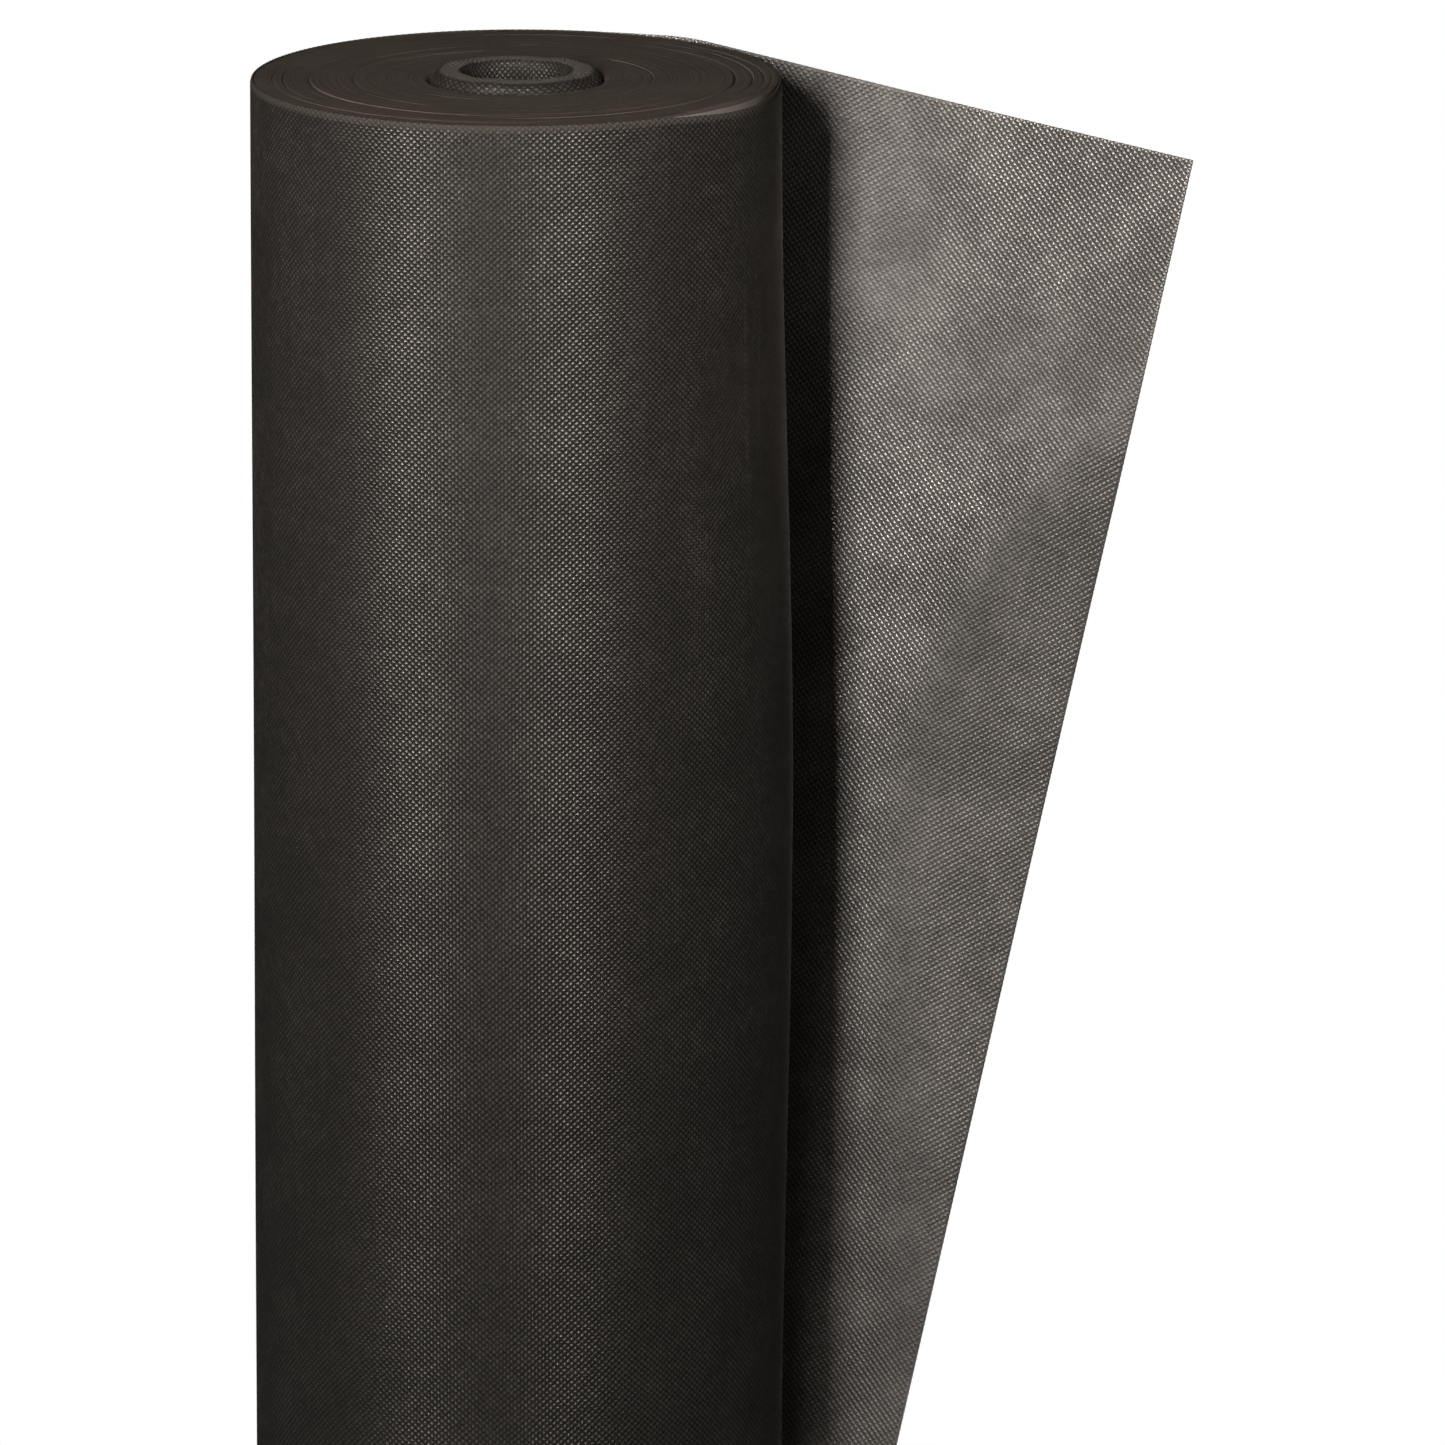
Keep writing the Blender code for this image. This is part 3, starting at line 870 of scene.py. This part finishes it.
class Finish:
    """A material with a Principled shader, and the ways to add nodes to it."""

    def __init__(self, name):
        self.material = bpy.data.materials.new(name)
        self.material.use_nodes = True
        self.tree = self.material.node_tree
        self.shader = self.tree.nodes["Principled BSDF"]

    def node(self, kind, settings=None, inputs=None, output=0):
        made = self.tree.nodes.new("ShaderNode" + kind)
        for name, value in (settings or {}).items():
            setattr(made, name, value)
        for key, value in (inputs or {}).items():
            self.feed(made.inputs[key], value)
        return Value(self, made.outputs[output])

    def feed(self, socket, value):
        if isinstance(value, Value):
            self.tree.links.new(value.socket, socket)
        else:
            socket.default_value = value

    def set(self, **inputs):
        for name, value in inputs.items():
            self.feed(self.shader.inputs[name.replace("_", " ")], value)

    def noise(self, vector, scale, detail=2, roughness=0.5):
        inputs = {"Vector": vector, "Scale": scale, "Detail": detail, "Roughness": roughness}
        return self.node("TexNoise", {"noise_dimensions": "3D"}, inputs)

    def step(self, value, start, end, low=0.0, high=1.0):
        settings = {"interpolation_type": "SMOOTHSTEP"}
        return self.node("MapRange", settings, {0: value, 1: start, 2: end, 3: low, 4: high})

    def mix(self, share, first, second):
        return self.node("Mix", {"data_type": "RGBA"}, {0: share, 6: first, 7: second}, output=2)

    def part(self, vector, number):
        return self.node("SeparateXYZ", None, {0: vector}, output=number)

    def vectors(self, operation, *inputs, output=0):
        return self.node("VectorMath", {"operation": operation}, dict(enumerate(inputs)), output)

    def stretched(self, vector, scale):
        return self.vectors("MULTIPLY", vector, scale)

    def length(self, vector):
        return self.vectors("LENGTH", vector, output=1)

    def place(self):
        return self.node("TexCoord", output=3)

    def place_from_axis(self):
        return self.vectors("SUBTRACT", self.place(), (AXIS.x, AXIS.y, 0))

    def bump(self, height, distance, strength=1.0):
        inputs = {"Height": height, "Distance": distance, "Strength": strength}
        return self.node("Bump", None, inputs)


# %% [markdown]
# The web is black polypropylene. Its fibres are round and smooth, so they shine softly. In the grooves the
# rollers pressed and melted them, so the cloth is flatter there, and its colour is darker: partly the
# pressed fibres' own tone, partly painted shade in the grooves. No two pillows have the same fibres on top,
# so each has its own brightness. Over a hand's width the cloth is cloudy, because the fibres were laid down
# unevenly. At the roll's rim and on the collar's lip it is rubbed matt. The loose end's near face has much
# lighter colours than the outer face: partly a face of its own, partly painted sheen. The pattern's maths
# reads the map of the cloth in metres, so it lies on the modelled pillows wherever the cloth goes.


# %% The web's finish
# A worn band is the four places up the cloth between which it fades in, stays and fades out, and its colour.
WORN_RIM = (HEIGHT - 0.0026, HEIGHT - 0.0008, HEIGHT + 1, HEIGHT + 2), (0.062, 0.050, 0.040, 1)
WORN_LIP_RADII = (0.0168, 0.0178, 0.0222, 0.0238)
lip_crossings = np.interp(WORN_LIP_RADII, lip_radii, lip_lengths)
WORN_LIP = LINING_LENGTH - LIP_CENTRE_DROP + lip_crossings, (0.165, 0.138, 0.114, 1)
WORN_SHARE = 0.8
WORN_ROUGHNESS = 0.35
# Share of the dark colour left in the grooves: partly their pressed tone, partly painted shade.
GROOVE_TONE_AND_SHADE_SHARE = 0.3
BUMP_HEIGHT = 0.00016
FIBRE_TINT = (1, 0.90, 0.81, 1)


def web_finish(name, colours, cloud_share, gloss, shine, density=1.5, pressed_tone_and_shade=0.85, worn=WORN_RIM):
    """Embossed black cloth that follows a map of the cloth in metres, with a worn band across it."""
    dark, light = colours
    web = Finish(name)
    cloth = web.node("UVMap", {"uv_map": "cloth"})
    across, up = web.part(cloth, 0), web.part(cloth, 1)
    first = across * (1 / CELL_WIDTH) + up * (1 / CELL_HEIGHT)
    second = across * (1 / CELL_WIDTH) - up * (1 / CELL_HEIGHT)
    from_first = 0.5 - abs(first.maths("FRACT") - 0.5)
    from_second = 0.5 - abs(second.maths("FRACT") - 0.5)
    inside = from_first.maths("MINIMUM", from_second)
    groove = web.step(inside, 0.06, 0.24, 1.0, 0.0)
    cell = web.node("CombineXYZ", None, {0: first.maths("FLOOR"), 1: second.maths("FLOOR")})
    own = web.node("TexWhiteNoise", {"noise_dimensions": "3D"}, {"Vector": cell})
    clouds = web.step(web.noise(cloth, 38, 5, 0.62), 0.34, 0.68)
    mottle = web.step(web.noise(cloth, 240, 3, 0.6), 0.3, 0.7)
    fibre = web.noise(web.stretched(cloth, (1.0, 0.55, 1.0)), 5200, 3, 0.7)
    share = cloud_share * clouds + 0.20 * mottle + 0.25 * own + 0.25 * fibre - 0.15
    colour = web.mix(web.step(share, 0.05, 1.0), dark, light)
    # Painted shade: the grooves are pulled towards a darker colour, partly the pressed fibres' own tone,
    # partly shade painted into the grooves.
    groove_tone_and_shade = (*(part * GROOVE_TONE_AND_SHADE_SHARE for part in dark[:3]), 1)
    colour = web.mix(groove * pressed_tone_and_shade, colour, groove_tone_and_shade)
    rough = gloss + 0.16 * groove - 0.08 * own - 0.06 * clouds + 0.06 * fibre
    height = web.step(inside, 0.0, 0.46) + 0.18 * fibre
    (fade_in, full, still_full, fade_out), worn_colour = worn
    band = web.step(up, fade_in, full) * web.step(up, fade_out, still_full)
    colour = web.mix(band * WORN_SHARE, colour, worn_colour)
    rough = rough + WORN_ROUGHNESS * band
    web.set(Base_Color=colour, Roughness=rough, Normal=web.bump(height, BUMP_HEIGHT))
    web.set(Specular_IOR_Level=shine, Specular_Tint=FIBRE_TINT, IOR=density)
    return web.material


OUTER_COLOURS = (0.028, 0.0242, 0.0205, 1), (0.087, 0.0755, 0.064, 1)
# The loose end's near face gets much lighter colours than the outer face: partly a face of its own, partly
# painted sheen.
INNER_COLOURS_AND_SHEEN = (0.061, 0.0545, 0.0490, 1), (0.200, 0.180, 0.163, 1)
COLLAR_COLOURS = (0.038, 0.0325, 0.0275, 1), (0.110, 0.094, 0.080, 1)
outer_face = web_finish("web_outer_face", OUTER_COLOURS, 0.25, 0.38, 0.60)
inner_face_and_sheen = web_finish("web_inner_face", INNER_COLOURS_AND_SHEEN, 0.55, 0.45, 1.0, density=1.8, pressed_tone_and_shade=0.6)
collar_cloth = web_finish("collar_cloth", COLLAR_COLOURS, 0.25, 0.44, 0.45, worn=WORN_LIP)

# %% [markdown]
# The ends of the winding are cut edges of the cloth. They don't shine, and they look browner and paler than
# its faces, because light is caught between the fibre ends. Fine rings of lighter and darker turns run round
# them, and the cut fibres make a speckle. The winding's upright walls are painted pale: a painted highlight
# where the turn behind the outermost one shows above its dipped rim.


# %% The winding's finish
END_DARK, END_LIGHT = (0.060, 0.0460, 0.0355, 1), (0.148, 0.1130, 0.0865, 1)
END_TINT = (0.100, 0.062, 0.050, 1)
WALL_PAINTED_HIGHLIGHT = (0.260, 0.226, 0.190, 1)


def winding_finish():
    """Matt cut edges in fine rings, and walls painted pale as a highlight."""
    ends = Finish("winding_ends")
    place = ends.place_from_axis()
    rings = ends.node("CombineXYZ", None, {0: ends.length(ends.stretched(place, (1, 1, 0)))})
    fine = ends.noise(rings, 1500, 2, 0.6)
    wide = ends.noise(rings, 210, 3, 0.6)
    patches = ends.noise(place, 38, 3, 0.6)
    speckle = ends.noise(place, 2600, 2, 0.7)
    shade = ends.step(0.8 * fine + 0.25 * wide + 0.45 * patches + 1.5 * speckle, 1.05, 1.95)
    colour = ends.mix(shade, END_DARK, END_LIGHT)
    warm = ends.step(ends.noise(place, 120, 2, 0.5), 0.45, 0.65)
    colour = ends.mix(warm * 0.6, colour, ends.mix(0.35, colour, END_TINT))
    # Painted highlight: the winding's upright walls get a pale colour, as if they caught the light.
    facing = ends.node("NewGeometry", output=1)
    wall = ends.step(abs(ends.part(facing, 2)), 0.7, 0.3)
    colour = ends.mix(wall, colour, WALL_PAINTED_HIGHLIGHT)
    ends.set(Base_Color=colour, Roughness=0.88 + 0.08 * speckle, Normal=ends.bump(speckle, 0.0001, 0.5))
    ends.set(Specular_IOR_Level=0.25)
    return ends.material


winding_ends = winding_finish()

# %% [markdown]
# The tube is spiral-wound board: one seam climbs round it at a steep angle, with a slightly different brown
# each side, and short grey and pale fibres lie in the paper. The tape is a strip of creped paper.


# %% The tube's and the tape's finishes
BOARD_DARK, BOARD_LIGHT = (0.235, 0.150, 0.080, 1), (0.430, 0.300, 0.175, 1)
BOARD_SEAM = (0.10, 0.062, 0.035, 1)
PLY_CLIMB = 0.11
TAPE_DARK, TAPE_LIGHT = (0.46, 0.36, 0.21, 1), (0.66, 0.56, 0.37, 1)


def board_finish():
    """Brown cardboard with a spiral seam and paper fibres."""
    board = Finish("tube_cardboard")
    place = board.place_from_axis()
    east, north, up = (board.part(place, number) for number in range(3))
    round_about = north.maths("ARCTAN2", east) / math.tau
    climb = (up / PLY_CLIMB + round_about).maths("FRACT")
    seam = board.step(abs(climb - 0.5), 0.485, 0.499)
    ply = board.step(climb, 0.1, 0.9)
    fibres = board.noise(board.stretched(place, (1, 1, 0.25)), 900, 4, 0.7)
    cloudy = board.noise(place, 45, 3, 0.6)
    shade = board.step(0.6 * fibres + 0.5 * cloudy + 0.15 * ply, 0.35, 0.95)
    colour = board.mix(seam * 0.7, board.mix(shade, BOARD_DARK, BOARD_LIGHT), BOARD_SEAM)
    height = fibres * 0.4 - seam
    board.set(Base_Color=colour, Roughness=0.78 + 0.14 * fibres, Normal=board.bump(height, 0.0002, 0.6))
    return board.material


def tape_finish():
    """Creped paper tape."""
    tape = Finish("paper_tape")
    place = tape.place()
    crepe = tape.noise(tape.stretched(place, (1, 1, 9)), 420, 3, 0.6)
    stain = tape.noise(place, 60, 3, 0.6)
    shade = tape.step(0.6 * crepe + 0.5 * stain, 0.3, 0.85)
    colour = tape.mix(shade, TAPE_DARK, TAPE_LIGHT)
    tape.set(Base_Color=colour, Roughness=0.62 + 0.15 * crepe, Normal=tape.bump(crepe, 0.00015, 0.7))
    return tape.material


# %% Put the finishes on
def wear(piece, material):
    """Gives a piece one material."""
    piece.data.materials.clear()
    piece.data.materials.append(material)


for strip in outer_web:
    wear(strip, outer_face)
for piece in loose_end:
    faces = np.empty(len(piece.data.polygons), np.int32)
    piece.data.polygons.foreach_get("material_index", faces)
    wear(piece, inner_face_and_sheen)
    piece.data.materials.append(outer_face)
    piece.data.polygons.foreach_set("material_index", faces)
for collar in (collar_top, collar_bottom):
    wear(collar, collar_cloth)
wear(winding, winding_ends)
wear(frame["nodes"]["core_tube"], board_finish())
wear(frame["nodes"]["start_tape"], tape_finish())

# %% [markdown]
# The roll's own pieces are told that the roll carries them. The loose end's pieces stay where they hang, and
# each hides the parts of the frame that it stands for.

for strip in outer_web:
    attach(strip, "roll")
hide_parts("outer_turns")
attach(winding, "roll")
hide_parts("wound_web")
for collar, node in ((collar_top, "tucked_collar_top"), (collar_bottom, "tucked_collar_bottom")):
    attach(collar, "roll")
    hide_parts(node)

bodies = ["roll", "flap_1", "flap_2", "flap_3", "flap_4"]
flap_tops = [HEIGHT, *(CORNER_HEIGHT + (REACH - place) * math.tan(TOP_TILT) for place in (*divides, REACH))]
for number, piece in enumerate(loose_end):
    bodies[number + 1]
    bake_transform(piece)
    nodes = ["flap_root", "flap_strip_1"] if number == 0 else [f"flap_strip_{number + 1}"]
    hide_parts(*nodes)
    near = -UNDER if number == 0 else divides[number - 1]
    far = divides[number] if number < len(divides) else REACH
    tall = flap_tops[number] - (CORNER_HEIGHT - (REACH - near) / math.tan(END_TILT))
    far_tall = flap_tops[number + 1] - (CORNER_HEIGHT - (REACH - far) / math.tan(END_TILT))
    piece_area = (far - near) * (tall + far_tall) / 2
    far - near
    print(piece.name, "covers", round(piece_area * 1e4), "square centimetres")

# %% [markdown]
# The studio is a pale floor that fades to white further out and a world that the camera sees as white. A
# narrow soft light stands at the left front above the roll: both sides of the pillows reflect it, which
# gives the roll its two light bands. A weak light from the right and a fill from the left open the shadows,
# and two low ones light the foot and the back. The camera stands six metres away with a long lens, so that
# the roll keeps the nearly parallel sides that it has in the photograph, and it looks down a little more
# than twelve degrees.

# %% The studio
VIEW_ELEVATION = math.radians(12.4)
VIEW_DISTANCE = 6.0
PHOTO_SIDE = 1445
METRES_A_PIXEL = 0.000302
PHOTO_AXIS_X = 518
PHOTO_TOP_Y = 82
SENSOR = 36


def make_camera():
    """The camera, so that the roll's axis and top lie where they do in the photograph."""
    right = (PHOTO_SIDE / 2 - PHOTO_AXIS_X) * METRES_A_PIXEL
    down = (PHOTO_SIDE / 2 - PHOTO_TOP_Y) * METRES_A_PIXEL / math.cos(VIEW_ELEVATION)
    aim = Vector((AXIS.x + right, AXIS.y, HEIGHT - down))
    back = Vector((0, -math.cos(VIEW_ELEVATION), math.sin(VIEW_ELEVATION)))
    camera = bpy.data.objects.new("camera", bpy.data.cameras.new("camera"))
    camera.data.sensor_width = SENSOR
    camera.data.lens = SENSOR * VIEW_DISTANCE / (PHOTO_SIDE * METRES_A_PIXEL)
    camera.data.clip_start = 0.1
    camera.data.clip_end = 40
    camera.location = aim + back * VIEW_DISTANCE
    camera.rotation_euler = (math.pi / 2 - VIEW_ELEVATION, 0, 0)
    bpy.context.scene.collection.objects.link(camera)
    bpy.context.scene.camera = camera


# Each lamp's name, azimuth, height, distance, size, power, spread, and the share of the roll it aims at.
LAMPS = [
    ("key", 258, 1.28, 1.1, (0.16, 0.40), 1.62, 58, 1.05),
    ("second", 320, 1.60, 1.6, (0.4, 0.7), 0.9, 180, 0.97),
    ("left_fill", 190, 0.30, 1.0, (0.5, 0.6), 0.6, 180, 0.5),
    ("low_front", 262, 0.22, 1.5, (0.4, 0.3), 0.55, 37, 0.18),
    ("back", 95, 0.60, 1.6, (0.5, 0.4), 4.0, 80, 0.6),
]


def soft_light(name, azimuth, height, distance, size, power, spread, aim):
    """A softbox that stands beside the roll and is turned towards it."""
    lamp = bpy.data.lights.new(name, "AREA")
    lamp.shape = "RECTANGLE"
    lamp.size, lamp.size_y = size
    lamp.energy = power
    lamp.spread = math.radians(spread)
    holder = bpy.data.objects.new(name, lamp)
    turn = math.radians(azimuth)
    holder.location = (AXIS.x + distance * math.cos(turn), AXIS.y + distance * math.sin(turn), height)
    way = holder.location - Vector((AXIS.x, AXIS.y, HEIGHT * aim))
    holder.rotation_euler = way.to_track_quat("Z", "Y").to_euler()
    bpy.context.scene.collection.objects.link(holder)


WORLD_LIGHT = 0.045


def make_world():
    """White where the camera looks, also through something clear, and a weak grey light elsewhere."""
    world = bpy.data.worlds.new("studio")
    bpy.context.scene.world = world
    world.use_nodes = True
    nodes, links = world.node_tree.nodes, world.node_tree.links
    path = nodes.new("ShaderNodeLightPath")
    seen = nodes.new("ShaderNodeMath")
    seen.operation = "MAXIMUM"
    links.new(path.outputs["Is Camera Ray"], seen.inputs[0])
    links.new(path.outputs["Is Transmission Ray"], seen.inputs[1])
    strength = nodes.new("ShaderNodeMapRange")
    strength.inputs["To Min"].default_value = WORLD_LIGHT
    strength.inputs["To Max"].default_value = 1.0
    links.new(seen.outputs[0], strength.inputs["Value"])
    background = nodes["Background"]
    background.inputs["Color"].default_value = (1, 1, 1, 1)
    links.new(strength.outputs[0], background.inputs["Strength"])


FLOOR_EDGE = 0.95
FLOOR_COLOUR = (0.80, 0.80, 0.79, 1)
FLOOR_RADIUS = 2.2
FLOOR_PALE = 0.5
FLOOR_GLOW = 0.55


def make_floor():
    """A round pale floor whose outer part is seen as white."""
    bpy.ops.mesh.primitive_circle_add(vertices=96, radius=FLOOR_RADIUS, fill_type="NGON")
    floor = bpy.context.object
    floor.name = "floor"
    pale = Finish("floor_pale")
    away = pale.length(pale.place())
    seen = pale.node("LightPath", output=0)
    glow = pale.node("Emission", None, {"Color": (1, 1, 1, 1), "Strength": 1.0})
    share = pale.step(away, FLOOR_PALE, FLOOR_RADIUS * FLOOR_EDGE, FLOOR_GLOW, 1.0) * seen
    pale.set(Base_Color=FLOOR_COLOUR, Roughness=0.9)
    lit = Value(pale, pale.shader.outputs[0])
    both = pale.node("MixShader", None, {0: share, 1: lit, 2: glow})
    pale.feed(pale.tree.nodes["Material Output"].inputs[0], both)
    wear(floor, pale.material)


make_camera()
make_world()
make_floor()
for lamp in LAMPS:
    soft_light(*lamp)
bpy.context.scene.view_settings.view_transform = "Standard"
